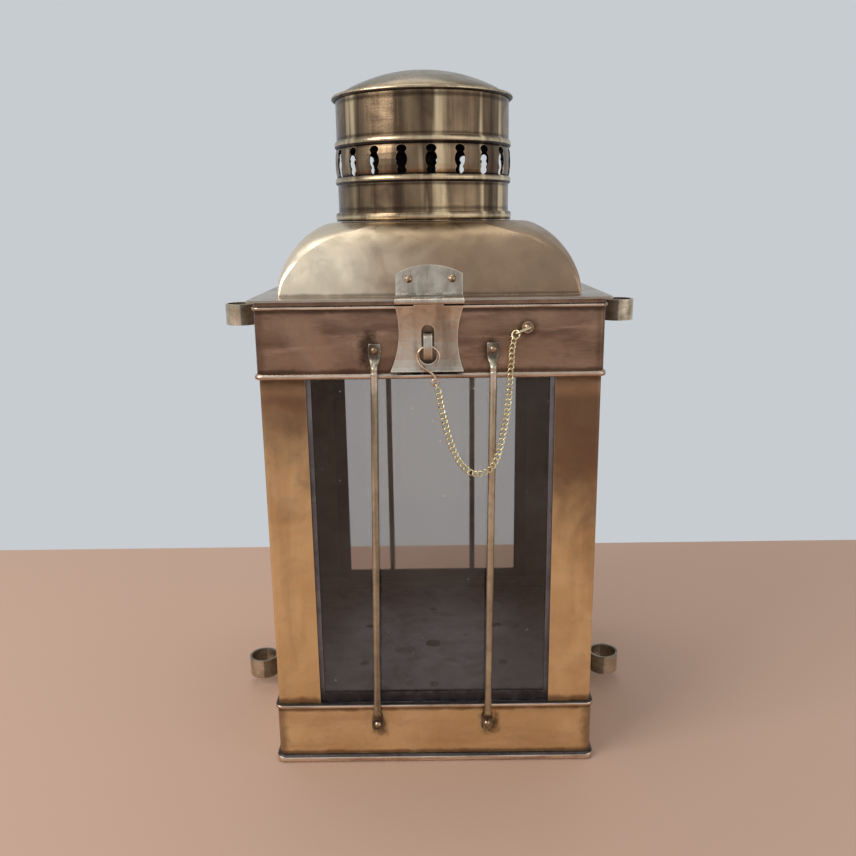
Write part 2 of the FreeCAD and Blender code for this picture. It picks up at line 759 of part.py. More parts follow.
def hasp():
    """Strap that drops over the staple, rolled round the pin at its top."""
    path = [(-107.4, 294.0), (-106.9, 292.6), (-105.6, 289.2), (-104.6, 285.0), (-103.9, 279.0)]
    path += [(-103.6, 272.0), (-103.6, 262.0), (-103.9, 257.4), (-105.0, 255.0)]
    sheet = strip(path, HASP_WALL, (-25, 25))
    tongue = strip([(-108.3, 295.1), *path[:2]], HASP_WALL, HASP_KNUCKLE)
    plate = sheet.common(hasp_outline())
    body = fused([plate, tongue, knuckle(HASP_KNUCKLE, -PIN_Y, PIN_Z)])
    return body.cut(fused([keyhole(), knuckle_bore(-PIN_Y, PIN_Z)]))


# Hook and chain


def hook_point(degrees):
    turn = math.radians(degrees)
    return V(HOOK_X + HOOK_R * math.cos(turn), HOOK_Y, HOOK_Z + HOOK_R * math.sin(turn))


def hook():
    """Open ring of wire through the staple, with a tail ending in a small eye for the chain."""
    middle = (HOOK_TIP_DEG + HOOK_TAIL_DEG) / 2
    bow = Part.Arc(hook_point(HOOK_TIP_DEG), hook_point(middle), hook_point(HOOK_TAIL_DEG))
    leave = hook_point(HOOK_TAIL_DEG)
    turn = math.radians(HOOK_TAIL_DEG)
    heading = V(-math.sin(turn), 0, math.cos(turn))
    end = V(HOOK_TAIL[0], HOOK_Y, HOOK_TAIL[1])
    tail = Part.BSplineCurve()
    tail.interpolate([leave, end], InitialTangent=heading * 12, FinalTangent=V(3, 0, -9))
    bow_wire = wire_along(Part.Wire([bow.toShape()]), WIRE_R)
    tail_wire = wire_along(Part.Wire([tail.toShape()]), WIRE_R)
    joint = Part.makeSphere(WIRE_R, leave)
    tip = Part.makeSphere(WIRE_R, hook_point(HOOK_TIP_DEG))
    eye = Part.makeTorus(HOOK_EYE_R, WIRE_R, V(HOOK_EYE[0], HOOK_Y, HOOK_EYE[1]), Y_AXIS)
    return fused([bow_wire, joint, tip, tail_wire, eye])


def chain_curve():
    curve = Part.BSplineCurve()
    curve.interpolate([V(*p) for p in CHAIN_PATH])
    return curve


def oval_ring(long, wide, wire_r):
    """Closed wire loop in the XZ plane, its long way up."""
    points = []
    for n in range(16):
        turn = 2 * math.pi * n / 16
        points.append(V(wide * math.cos(turn), 0, long * math.sin(turn)))
    path = Part.BSplineCurve()
    path.interpolate(points, PeriodicFlag=True)
    return wire_along(Part.Wire([path.toShape()]), wire_r)


def laid(shape, at, along, degrees):
    """Turns a loop so that it lies along the chain, its flat turned from the front by degrees."""
    along = V(along).normalize()
    side = Y_AXIS.cross(along).normalize()
    out = along.cross(side)
    flat = FreeCAD.Matrix(
        side.x, out.x, along.x, 0, side.y, out.y, along.y, 0, side.z, out.z, along.z, 0, 0, 0, 0, 1
    )
    lay = FreeCAD.Rotation(FreeCAD.Placement(flat).Rotation)
    copy = shape.copy()
    copy.Placement = FreeCAD.Placement(at, FreeCAD.Rotation(along, degrees).multiply(lay))
    return copy


def chain():
    """Links threaded along the hanging curve, with rings at the eyelet and the hook."""
    edge = chain_curve().toShape()
    count = round(edge.Length / LINK_PITCH) + 1
    pattern = oval_ring(LINK_LONG, LINK_WIDE, CHAIN_WIRE_R)
    links = []
    for n in range(count):
        at = edge.getParameterByLength(edge.Length * n / (count - 1))
        degrees = LINK_TURN * (-1) ** (n + 1)
        degrees += LINK_TURN * math.exp((n - count + 1) / CHAIN_SETTLE)
        links.append(laid(pattern, edge.valueAt(at), edge.tangentAt(at), degrees))
    for centre, along, degrees, long, wide, wire_r in END_RINGS:
        links.append(laid(oval_ring(long, wide, wire_r), V(*centre), V(*along), degrees))
    return compound(links)


# Rear hinges


def rear_spans(x):
    """Knuckle ranges: two outer ones on the body leaf, the middle one on the lid leaf."""
    outer = [
        (x - LEAF_HALF, x - REAR_KNUCKLE - KNUCKLE_GAP),
        (x + REAR_KNUCKLE + KNUCKLE_GAP, x + LEAF_HALF),
    ]
    return outer, (x - REAR_KNUCKLE, x + REAR_KNUCKLE)


def rear_body_rivets():
    for x in (-REAR_HINGE_X, REAR_HINGE_X):
        for dx in (-REAR_RIVET_X, REAR_RIVET_X):
            yield V(x + dx, BAND_HALF + LEAF_WALL, 275.0)


def rear_lid_rivets():
    for x in (-REAR_HINGE_X, REAR_HINGE_X):
        for dx in (-REAR_RIVET_X, REAR_RIVET_X):
            yield V(x + dx, 94.5, LID_TOP + LEAF_WALL)


def rear_body_leaf(x):
    outer, _ = rear_spans(x)
    path = [(108.3, 294.2), (106.6, 292.0), (103.4, 290.6), (102.6, 288.6), (100.5, 286.0)]
    path.append((100.5, REAR_LEAF_BOTTOM))
    sheet = strip(path, LEAF_WALL, (x - LEAF_HALF, x + LEAF_HALF))
    gap = box((x - REAR_KNUCKLE - KNUCKLE_GAP, x + REAR_KNUCKLE + KNUCKLE_GAP), (104.2, 112), (290.5, 300))
    leaf = fused([sheet.cut(gap), *[knuckle(span, PIN_Y, PIN_Z) for span in outer]])
    leaf = leaf.cut(Part.makeCylinder(BORE_R, 300, V(-150, PIN_Y, PIN_Z), X_AXIS))
    return leaf.cut(compound([drill(at, Y_AXIS, HINGE_RIVET) for at in rear_body_rivets()]))


def rear_lid_leaf(x):
    _, middle = rear_spans(x)
    deep = 89.4
    plate = strip([(105.3, 296.9), (deep, 296.9)], LEAF_WALL, (x - LEAF_HALF, x + LEAF_HALF))
    tongue = strip([(106.8, 296.4), (104.6, 296.9), (103.0, 296.9)], LEAF_WALL, middle)
    leaf = fused([plate.cut(box((-150, 150), (104.6, 112), (290, 300))), tongue])
    leaf = fused([leaf, knuckle(middle, PIN_Y, PIN_Z)])
    leaf = leaf.cut(Part.makeCylinder(BORE_R, 300, V(-150, PIN_Y, PIN_Z), X_AXIS))
    return leaf.cut(compound([drill(at, Z_AXIS, HINGE_RIVET) for at in rear_lid_rivets()]))


def rear_hinge_pin(x):
    length = 2 * LEAF_HALF + 0.6
    return Part.makeCylinder(PIN_R, length, V(x - length / 2, PIN_Y, PIN_Z), X_AXIS)


def rear_body_rivet_set():
    grip = LEAF_WALL + BAND_WALL
    return compound([rivet(at, Y_AXIS, HINGE_RIVET, grip) for at in rear_body_rivets()])


def rear_lid_rivet_set():
    grip = LEAF_WALL + LID_WALL
    return compound([rivet(at, Z_AXIS, HINGE_RIVET, grip) for at in rear_lid_rivets()])


SIDES = ("front", "right", "rear", "left")
CORNERS = ("front_left", "front_right", "rear_right", "rear_left")


def assembly():
    nodes = {
        "foot_bead": foot_bead(),
        "base_band": base_band(),
        "base_top_bead": square_bead(half_round(BAND_HALF, 1.35, BASE_TOP_BEAD_Z), BAND_HALF, BAND_CORNER),
        "floor_plate": floor_plate(),
        "upper_band": upper_band(),
        "upper_low_bead": square_bead(half_round(BAND_HALF, 1.7, UPPER_LOW_BEAD_Z), BAND_HALF, BAND_CORNER),
        "upper_top_bead": square_bead(half_round(BAND_HALF, 1.15, UPPER_TOP_BEAD_Z), BAND_HALF, BAND_CORNER),
        "bar_rivets": bar_rivets(),
        "eye_upper_right": guide_eye(1, EYE_Z[1]),
        "eye_upper_left": guide_eye(-1, EYE_Z[1]),
        "eye_lower_right": guide_eye(1, EYE_Z[0]),
        "eye_lower_left": guide_eye(-1, EYE_Z[0]),
        "eye_rivets": eye_rivets(),
        "staple": staple(),
        "chain_eyelet": chain_eyelet(),
        "lid_plate": lid_plate(),
        "chimney_base_ring": chimney_part(chimney_base_ring()),
        "chimney_tube": chimney_part(chimney_tube()),
        "chimney_rim": chimney_part(chimney_rim()),
        "chimney_cap": chimney_part(chimney_cap()),
        "hasp_hinge_leaf": hasp_hinge_leaf(),
        "hasp_hinge_rivets": hasp_hinge_rivets(),
        "hasp_hinge_pin": hasp_hinge_pin(),
        "hasp": hasp(),
        "hook": hook(),
        "chain": chain(),
        "rear_hinge_body_rivets": rear_body_rivet_set(),
        "rear_hinge_lid_rivets": rear_lid_rivet_set(),
    }
    shell = roof_shell()
    for n, side in enumerate(SIDES):
        nodes[f"glass_{side}"] = glass_pane(n)
        nodes[f"glazing_{side}"] = glazing_frame(n)
        nodes[f"roof_panel_{side}"] = roof_panel(shell, n)
        left, right = side_bars(n)
        nodes[f"guard_bar_{side}_a"] = guard_bar(n, left)
        nodes[f"guard_bar_{side}_b"] = guard_bar(n, right)
    for n, corner in enumerate(CORNERS):
        nodes[f"post_{corner}"] = corner_post(n)
    for hand, x in (("left", -REAR_HINGE_X), ("right", REAR_HINGE_X)):
        nodes[f"rear_hinge_{hand}_body_leaf"] = rear_body_leaf(x)
        nodes[f"rear_hinge_{hand}_lid_leaf"] = rear_lid_leaf(x)
        nodes[f"rear_hinge_{hand}_pin"] = rear_hinge_pin(x)
    return nodes


os.makedirs("parts", exist_ok=True)
for name, shape in assembly().items():
    shape.exportStep(f"parts/{name}.step")
    print(name, len(shape.Solids), shape.isValid(), round(shape.Volume, 1))
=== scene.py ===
"""Looks of the brass ship's lantern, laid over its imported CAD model."""
import json
import math

import bpy
from mathutils import Matrix, Vector


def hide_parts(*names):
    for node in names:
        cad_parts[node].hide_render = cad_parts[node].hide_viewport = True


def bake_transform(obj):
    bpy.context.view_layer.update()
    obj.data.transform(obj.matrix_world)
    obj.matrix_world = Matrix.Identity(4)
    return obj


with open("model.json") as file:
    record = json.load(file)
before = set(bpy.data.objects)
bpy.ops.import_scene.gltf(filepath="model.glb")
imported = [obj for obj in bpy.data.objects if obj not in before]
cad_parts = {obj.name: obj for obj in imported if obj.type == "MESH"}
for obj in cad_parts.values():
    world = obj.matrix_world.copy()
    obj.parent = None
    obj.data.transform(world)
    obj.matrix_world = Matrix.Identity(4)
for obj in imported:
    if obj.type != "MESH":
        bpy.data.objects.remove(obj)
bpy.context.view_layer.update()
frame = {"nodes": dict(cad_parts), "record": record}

NODES = frame["nodes"]
MM = 0.001


# Shader building


class Graph:
    """Small helper that adds nodes to one material and links them."""

    def __init__(self, name):
        self.material = bpy.data.materials.new(name)
        self.material.use_nodes = True
        self.tree = self.material.node_tree
        self.shader = self.tree.nodes["Principled BSDF"]
        texture = self.tree.nodes.new("ShaderNodeTexCoord")
        self.place = texture.outputs["Object"]
        self.normal = texture.outputs["Normal"]
        split = self.node("ShaderNodeSeparateXYZ", {0: self.place})
        self.x, self.y, self.z = split.outputs

    def node(self, kind, inputs=(), **settings):
        made = self.tree.nodes.new(kind)
        for key, value in settings.items():
            setattr(made, key, value)
        for key, value in dict(inputs).items():
            self.feed(made.inputs[key], value)
        return made

    def feed(self, socket, value):
        if isinstance(value, bpy.types.NodeSocket):
            self.tree.links.new(value, socket)
        else:
            socket.default_value = value

    def noise(self, scale, detail=6.0, rough=0.55, distort=0.0, stretch=None, turn=(0, 0, 0)):
        """Noise with features about 1 / scale metres across."""
        where = self.place
        if stretch:
            inputs = {"Vector": where, "Scale": stretch, "Rotation": turn}
            where = self.node("ShaderNodeMapping", inputs).outputs[0]
        inputs = {"Vector": where, "Scale": scale, "Detail": detail, "Roughness": rough, "Distortion": distort}
        return self.node("ShaderNodeTexNoise", inputs).outputs["Fac"]

    def ramp(self, value, low, high, start=0.0, end=1.0):
        """Smooth step of value between low and high, from start to end."""
        inputs = {"Value": value, "From Min": low, "From Max": high, "To Min": start, "To Max": end}
        return self.node("ShaderNodeMapRange", inputs, interpolation_type="SMOOTHSTEP").outputs[0]

    def math(self, operation, a, b=0.0):
        return self.node("ShaderNodeMath", {0: a, 1: b}, operation=operation).outputs[0]

    def times(self, a, b):
        return self.math("MULTIPLY", a, b)

    def mix(self, factor, a, b):
        inputs = {"Factor": factor, 6: a, 7: b}
        return self.node("ShaderNodeMix", inputs, data_type="RGBA").outputs[2]

    def bump(self, height, strength, distance, under=None):
        inputs = {"Height": height, "Strength": strength, "Distance": distance}
        if under is not None:
            inputs["Normal"] = under
        return self.node("ShaderNodeBump", inputs).outputs[0]

    def near(self, value, centre, spread, wobble=None):
        """1 where value is at centre, 0 beyond spread, with a ragged edge if wobble is given."""
        away = self.math("ABSOLUTE", self.math("SUBTRACT", value, centre))
        if wobble is not None:
            away = self.math("ADD", away, self.times(self.math("SUBTRACT", wobble, 0.5), spread * 1.6))
        return self.ramp(away, spread, 0.0)

    def inward(self):
        """1 on faces that look into the lantern, 0 on faces that look out of it."""
        centre = self.node("ShaderNodeVectorMath", {0: self.place, 1: (0, 0, 0.2)}, operation="SUBTRACT")
        facing = self.node("ShaderNodeVectorMath", {0: self.normal, 1: centre.outputs[0]}, operation="DOT_PRODUCT")
        return self.ramp(facing.outputs["Value"], 0.004, -0.012)

    def across(self):
        """Distance from the middle of whichever of the four sides a point is on."""
        return self.math("MINIMUM", self.math("ABSOLUTE", self.x), self.math("ABSOLUTE", self.y))

    def set(self, **sockets):
        for key, value in sockets.items():
            self.feed(self.shader.inputs[key.replace("_", " ")], value)


def rgba(red, green, blue):
    """Colour given as 0 to 255 screen values."""
    linear = [((c / 255 + 0.055) / 1.055) ** 2.4 if c > 10 else c / 3295 for c in (red, green, blue)]
    return (*linear, 1.0)


def scaled(colour, factor, lift=0.0):
    return tuple(min(1.0, c * factor + lift) for c in colour[:3]) + (1.0,)


def edge_wear_and_highlight(g, radius):
    """1 near sharp edges, 0 on flat metal."""
    rounded = g.node("ShaderNodeBevel", {"Radius": radius}, samples=4).outputs[0]
    flat = g.node("ShaderNodeNewGeometry").outputs["Normal"]
    dot = g.node("ShaderNodeVectorMath", {0: rounded, 1: flat}, operation="DOT_PRODUCT").outputs["Value"]
    return g.ramp(dot, 0.995, 0.90)


def brass(name, light, mid, dark, rough=(0.26, 0.46), mottle=22.0, streak=None, streaks=0.5, turn=(0, 0, 0),
          grime_and_shade=(), layers=(), beaten=0.0, tarnish=0.4, edge=0.35, edge_radius=0.9, inward_shade=0.9):
    """Aged brass: mottled patina, edges lightened by rubbing and a painted highlight, fine scratches, dark lines
    that are grime on some seams and painted shade on others, and inner faces darkened as painted shade.
    """
    g = Graph(name)
    broad = g.noise(mottle, detail=3, distort=0.8)
    cloudy = g.noise(mottle * 4.0, detail=6, rough=0.6, distort=0.5)
    fine = g.noise(mottle * 26, detail=3, rough=0.7)
    colour = g.mix(g.ramp(broad, 0.32, 0.68), light, mid)
    colour = g.mix(g.times(g.ramp(cloudy, 0.46, 0.78), tarnish), colour, dark)
    if streak:
        lines = g.noise(1.0, detail=5, rough=0.62, stretch=streak, turn=turn)
        colour = g.mix(g.times(g.ramp(lines, 0.46, 0.66), streaks), colour, dark)
        colour = g.mix(g.times(g.ramp(lines, 0.47, 0.30), streaks * 0.8), colour, scaled(light, 1.12))
    for layer in layers:
        amount, paint = layer(g, broad, cloudy)
        colour = g.mix(amount, colour, paint)
    specks = g.ramp(fine, 0.68, 0.80)
    colour = g.mix(g.times(specks, 0.30), colour, dark)
    # Dark lines at given heights: grime along some seams, painted shade beside ribs and under the lid edge on
    # others.
    grime_and_shade_mask = None
    for height, spread, amount in grime_and_shade:
        line = g.times(g.near(g.z, height * MM, spread * MM, cloudy), amount)
        grime_and_shade_mask = line if grime_and_shade_mask is None else g.math("MAXIMUM", grime_and_shade_mask, line)
    if grime_and_shade_mask is not None:
        colour = g.mix(grime_and_shade_mask, colour, scaled(dark, 0.4))
    # Edges lightened: rubbed wear plus a painted highlight along them.
    rub_and_highlight = g.times(edge_wear_and_highlight(g, edge_radius * MM), g.ramp(cloudy, 0.30, 0.60, 0.35, 1.0))
    colour = g.mix(g.times(rub_and_highlight, edge), colour, scaled(light, 1.35, 0.06))
    # Painted shade, with some grime: faces that look into the lantern are darkened towards near-black.
    shade_black = g.mix(g.ramp(cloudy, 0.3, 0.7), rgba(51, 50, 58), rgba(29, 28, 34))
    inward_shade_mask = g.times(g.inward(), inward_shade) if inward_shade else None
    if inward_shade:
        colour = g.mix(inward_shade_mask, colour, shade_black)
    scratch = g.noise(1.0, detail=3, rough=0.7, stretch=(900, 900, 60))
    across = g.noise(1.0, detail=3, rough=0.7, stretch=(70, 70, 1100))
    gloss = g.ramp(cloudy, 0.30, 0.72, rough[0], rough[1])
    gloss = g.math("ADD", gloss, g.times(g.math("SUBTRACT", scratch, 0.5), 0.16))
    gloss = g.math("ADD", gloss, g.times(specks, 0.15))
    if inward_shade:
        gloss = g.math("ADD", gloss, g.times(inward_shade_mask, 0.22))
    normal = g.bump(scratch, 0.08, 0.0004)
    normal = g.bump(across, 0.06, 0.0004, normal)
    normal = g.bump(cloudy, 0.12, 0.0009, normal)
    normal = g.bump(broad, 0.35, 0.0022, normal)
    if beaten:
        dents = g.node("ShaderNodeTexVoronoi", {"Vector": g.place, "Scale": 95.0, "Smoothness": 1.0},
                       feature="SMOOTH_F1").outputs["Distance"]
        normal = g.bump(dents, beaten, 0.0016, normal)
    g.set(Base_Color=colour, Metallic=1.0, Roughness=gloss, Normal=normal)
    return g.material


# Heights of the dark lines along seams, beads and ribs, in millimetres: middle, spread, amount
BASE_SEAMS = ((6.2, 2.6, 0.75), (37.2, 2.4, 0.8))
UPPER_SEAMS = ((254.6, 2.6, 0.7), (289.6, 2.6, 0.75))
POST_SEAMS = ((42.6, 3.6, 0.75), (250.0, 4.0, 0.75))
# Painted shade in the hollows just above and below the chimney's ribs and beads.
CHIMNEY_SHADE_LINES = ((346.0, 2.0, 0.6), (360.4, 1.6, 0.7), (366.8, 1.2, 0.5), (382.8, 1.2, 0.5),
                 (389.2, 1.6, 0.6), (410.6, 2.2, 0.7))
BAR_PLACE = 34.4
FOOT_RIVET, HEAD_RIVET = 26.6, 267.1


# Patina, painted light and painted shade that belong to one place


def post_tops(g, broad, cloudy):
    """Brown upper part of each post, reaching lower on the right."""
    edge = g.math("ADD", g.z, g.times(g.x, 0.20))
    edge = g.math("ADD", edge, g.times(g.math("SUBTRACT", broad, 0.5), 0.07))
    edge = g.math("ADD", edge, g.times(g.math("SUBTRACT", cloudy, 0.5), 0.04))
    return g.ramp(edge, 0.140, 0.235, 0.0, 0.95), rgba(124, 98, 78)


def post_sheen(g, broad, cloudy):
    """Lighter rubbed patch under the upper bead."""
    return g.times(g.near(g.z, 0.243, 0.007, broad), 0.30), rgba(206, 164, 122)


def pad_halos(height, spread):
    """Dark rings on the bands round the riveted ends of the guard bars."""
    def layer(g, broad, cloudy):
        sideways = g.math("SUBTRACT", g.across(), BAR_PLACE * MM)
        upright = g.times(g.math("SUBTRACT", g.z, height * MM), 0.75)
        away = g.math("SQRT", g.math("ADD", g.times(sideways, sideways), g.times(upright, upright)))
        away = g.math("ADD", away, g.times(g.math("SUBTRACT", cloudy, 0.5), spread * 2.2 * MM))
        return g.ramp(away, spread * MM, 0.002, 0.0, 0.85), rgba(46, 34, 28)
    return layer


# Painted shadow: a dark ring on the band round the chain eyelet.
def eyelet_painted_shadow(g, broad, cloudy):
    spot = g.node("ShaderNodeVectorMath", {0: g.place, 1: (0.0557, -0.1, 0.2793)}, operation="DISTANCE")
    away = g.math("ADD", spot.outputs["Value"], g.times(g.math("SUBTRACT", cloudy, 0.5), 0.012))
    return g.ramp(away, 0.0075, 0.003, 0.0, 0.7), rgba(70, 48, 36)


def rosy_brush(g, broad, cloudy):
    """Slanting pinkish strokes left by polishing."""
    strokes = g.noise(1.0, detail=6, rough=0.65, stretch=(18, 18, 90), turn=(0, 0.42, 0), distort=0.3)
    return g.ramp(strokes, 0.50, 0.74, 0.0, 0.55), rgba(214, 176, 152)


def dark_band_corners(g, broad, cloudy):
    """Dark corners of the square bands."""
    near = g.ramp(g.math("ADD", g.across(), g.times(g.math("SUBTRACT", cloudy, 0.5), 0.006)), 0.0925, 0.0985)
    return g.times(near, 0.55), rgba(74, 52, 38)


def roof_left_painted_light(g, broad, cloudy):
    """Painted light: cream on the left of the roof, the side the key lamp lights."""
    edge = g.math("ADD", g.x, g.times(g.math("SUBTRACT", broad, 0.5), 0.09))
    return g.ramp(edge, 0.006, -0.066, 0.0, 0.95), rgba(252, 234, 206)


def roof_cast(g, broad, cloudy):
    """Olive tint high up, next to the chimney."""
    edge = g.math("ADD", g.z, g.times(g.math("SUBTRACT", cloudy, 0.5), 0.02))
    return g.ramp(edge, 0.318, 0.338, 0.0, 0.5), rgba(150, 132, 96)


def chimney_painted_highlights(g, broad, cloudy):
    """Painted highlights: broad upright bands of brighter metal round the chimney."""
    bands = g.noise(1.0, detail=3, rough=0.5, stretch=(62, 62, 3))
    wall = g.ramp(g.z, 0.4150, 0.4135)
    return g.times(g.ramp(bands, 0.53, 0.64, 0.0, 0.95), wall), rgba(238, 210, 168)


def rib_painted_highlight(g, broad, cloudy):
    """Painted highlight along the rolled ribs."""
    ribs = None
    for height in (363.6, 385.9, 341.0, 414.2):
        rib = g.near(g.z, height * MM, 2.2 * MM)
        ribs = rib if ribs is None else g.math("MAXIMUM", ribs, rib)
    return g.times(ribs, g.ramp(cloudy, 0.25, 0.6, 0.15, 0.75)), rgba(232, 212, 176)


def pale_crown(g, broad, cloudy):
    return g.ramp(g.z, 0.4150, 0.4165, 0.0, 0.6), rgba(146, 132, 108)


def bar_pads(g, broad, cloudy):
    """Blackened flat ends of the bars."""
    low = g.ramp(g.z, 0.0345, 0.0315)
    high = g.ramp(g.z, 0.2600, 0.2625)
    return g.times(g.math("MAXIMUM", low, high), g.ramp(cloudy, 0.3, 0.6, 0.35, 0.85)), rgba(74, 58, 50)


def bar_painted_highlight(g, broad, cloudy):
    """Painted highlight: pale, silvery band on the bars under each pad."""
    top = g.near(g.z, 0.2505, 0.010, cloudy)
    return g.times(top, 0.75), rgba(226, 210, 194)


def bead_painted_highlight(g, broad, cloudy):
    """Painted highlight: bright line along the crown of a bead."""
    out = g.math("MAXIMUM", g.math("ABSOLUTE", g.x), g.math("ABSOLUTE", g.y))
    streaky = g.noise(1.0, detail=4, rough=0.6, stretch=(34, 34, 500))
    return g.times(g.ramp(out, 0.1004, 0.1012), g.ramp(streaky, 0.35, 0.6, 0.2, 0.9)), rgba(240, 222, 204)


MATERIALS = {
    "post_brass": brass(
        "post_brass", rgba(238, 208, 160), rgba(219, 188, 141), rgba(148, 110, 78), rough=(0.28, 0.46),
        streak=(46, 46, 5), streaks=0.28, grime_and_shade=POST_SEAMS, layers=(post_tops, post_sheen), tarnish=0.25),
    "base_band_brass": brass(
        "base_band_brass", rgba(240, 212, 166), rgba(222, 193, 146), rgba(142, 106, 76), rough=(0.28, 0.46),
        streak=(10, 10, 60), streaks=0.22, grime_and_shade=BASE_SEAMS, tarnish=0.25,
        layers=(dark_band_corners, pad_halos(FOOT_RIVET, 8.0))),
    "upper_band_brass": brass(
        "upper_band_brass", rgba(168, 138, 116), rgba(140, 112, 94), rgba(88, 66, 54), rough=(0.28, 0.44),
        streak=(16, 16, 80), streaks=0.50, turn=(0, 0.25, 0), grime_and_shade=UPPER_SEAMS, tarnish=0.40,
        layers=(rosy_brush, dark_band_corners, pad_halos(HEAD_RIVET, 9.0), eyelet_painted_shadow)),
    "bead_brass": brass(
        "bead_brass", rgba(204, 176, 150), rgba(170, 140, 116), rgba(84, 62, 50), rough=(0.20, 0.36),
        mottle=40.0, streak=(22, 22, 420), streaks=0.7, tarnish=0.35, layers=(bead_painted_highlight,)),
    "bar_brass": brass(
        "bar_brass", rgba(208, 198, 174), rgba(176, 165, 144), rgba(84, 72, 60), rough=(0.26, 0.42),
        mottle=40.0, streak=(160, 160, 7), streaks=0.6, tarnish=0.4, layers=(bar_painted_highlight, bar_pads), inward_shade=0.8),
    "eye_brass": brass(
        "eye_brass", rgba(224, 212, 190), rgba(184, 172, 150), rgba(92, 82, 68), rough=(0.28, 0.46),
        mottle=50.0, tarnish=0.6, inward_shade=0.6),
    "rivet_brass": brass(
        "rivet_brass", rgba(190, 164, 138), rgba(150, 124, 100), rgba(74, 56, 44), rough=(0.24, 0.4),
        mottle=120.0, tarnish=0.7, inward_shade=0.0),
    "roof_brass": brass(
        "roof_brass", rgba(176, 148, 122), rgba(160, 132, 108), rgba(126, 100, 80), rough=(0.26, 0.42),
        # The dark line at 297 mm is painted shadow in the gap under the lid edge.
        mottle=18.0, streak=(30, 30, 22), streaks=0.25, grime_and_shade=((297.2, 1.8, 0.6),), beaten=0.22,
        tarnish=0.35, edge=0.75, edge_radius=1.6, layers=(roof_left_painted_light, roof_cast)),
    "lid_brass": brass(
        "lid_brass", rgba(190, 180, 166), rgba(160, 146, 130), rgba(96, 80, 68), rough=(0.24, 0.38),
        mottle=22.0, tarnish=0.45, edge=0.7),
    "chimney_brass": brass(
        "chimney_brass", rgba(142, 119, 93), rgba(104, 85, 68), rgba(66, 51, 40), rough=(0.20, 0.34),
        mottle=20.0, streak=(120, 120, 5), streaks=0.75, tarnish=0.35, grime_and_shade=CHIMNEY_SHADE_LINES,
        layers=(chimney_painted_highlights, rib_painted_highlight, pale_crown)),
    "hasp_brass": brass(
        "hasp_brass", rgba(220, 208, 192), rgba(188, 174, 156), rgba(112, 94, 80), rough=(0.24, 0.38),
        mottle=40.0, streak=(90, 90, 9), streaks=0.45, tarnish=0.45, edge=0.9, edge_radius=1.2,
        # The dark line at 297.6 mm is painted shadow in the gap under the lid edge.
        grime_and_shade=((297.6, 1.0, 0.8),)),
    "hook_wire": brass(
        "hook_wire", rgba(230, 206, 182), rgba(196, 168, 144), rgba(120, 96, 78), rough=(0.2, 0.34),
        mottle=150.0, tarnish=0.4, inward_shade=0.0),
    "chain_brass": brass(
        "chain_brass", rgba(246, 236, 196), rgba(222, 206, 158), rgba(140, 120, 84), rough=(0.18, 0.30),
        mottle=150.0, tarnish=0.4, inward_shade=0.0),
    "floor_bronze": brass(
        "floor_bronze", rgba(126, 118, 126), rgba(104, 97, 105), rgba(60, 55, 60), rough=(0.40, 0.60),
        mottle=22.0, tarnish=0.6, edge=0.1, inward_shade=0.0),
    "tinned_steel": brass(
        "tinned_steel", rgba(138, 136, 142), rgba(112, 110, 116), rgba(60, 58, 60), rough=(0.40, 0.58),
        mottle=36.0, streak=(80, 80, 8), streaks=0.5, tarnish=0.5, edge=0.15, grime_and_shade=((44.0, 12.0, 0.8),)),
}


def glass():
    """Old sheet glass with a thin film and a few specks of dust."""
    g = Graph("glass")
    film = g.noise(14.0, detail=5, rough=0.6)
    low = g.ramp(g.z, 0.13, 0.045)
    haze = g.math("ADD", g.ramp(film, 0.35, 0.8, 0.0, 0.035), g.times(low, 0.03))
    grit = g.ramp(g.noise(520.0, detail=1), 0.80, 0.83, 0.0, 0.8)
    dust = g.math("MAXIMUM", haze, grit)
    clear = g.math("SUBTRACT", 1.0, dust)
    colour = g.mix(dust, rgba(218, 215, 213), rgba(214, 210, 204))
    wave = g.bump(g.noise(9.0, detail=2), 0.04, 0.002)
    g.set(Base_Color=colour, Roughness=g.ramp(film, 0.3, 0.8, 0.01, 0.05), Transmission_Weight=clear,
          IOR=1.45, Normal=wave)
    return g.material


MATERIALS["glass"] = glass()

for part in frame["record"]["subparts"]:
    node = NODES[part["node"]]
    node.data.materials.clear()
    node.data.materials.append(MATERIALS[part["material_slot"]])


# Chain of twisted curb links, from the eyelet down and up to the hook

CHAIN_ROUTE = (
    (47.4, -104.3, 272.6), (46.3, -104.8, 266.0), (46.2, -105.2, 261.0), (45.5, -105.6, 254.0),
    (45.1, -106.2, 245.0), (44.0, -107.0, 234.0), (42.6, -107.8, 224.5), (40.4, -108.5, 214.0),
    (38.4, -108.9, 206.0), (35.8, -109.2, 200.5), (32.6, -109.2, 197.2), (28.5, -109.2, 195.6),
    (24.0, -109.0, 195.8), (19.6, -108.8, 198.8), (15.3, -108.6, 204.5), (11.4, -108.3, 213.5),
    (8.4, -108.0, 224.5), (5.8, -107.6, 237.0), (4.6, -107.3, 244.3),
)
LINK_PITCH = 2.95
LINK = (1.95, 1.62, 0.6, 0.4)     # half length, half width, curl, wire radius
# centre, way along the chain, turn about it, half length, half width, wire radius
END_RINGS = (
    ((48.6, -104.15, 275.54), (-0.36, -0.05, -0.93), 41.5, 2.47, 2.47, 0.5),
    ((52.9, -104.48, 278.14), (0.98, 0.14, 0.37), 92.4, 4.89, 1.79, 0.4),
    ((3.7, -107.25, 246.96), (0.32, -0.02, -0.95), 90.0, 1.8, 1.8, 0.4),
)


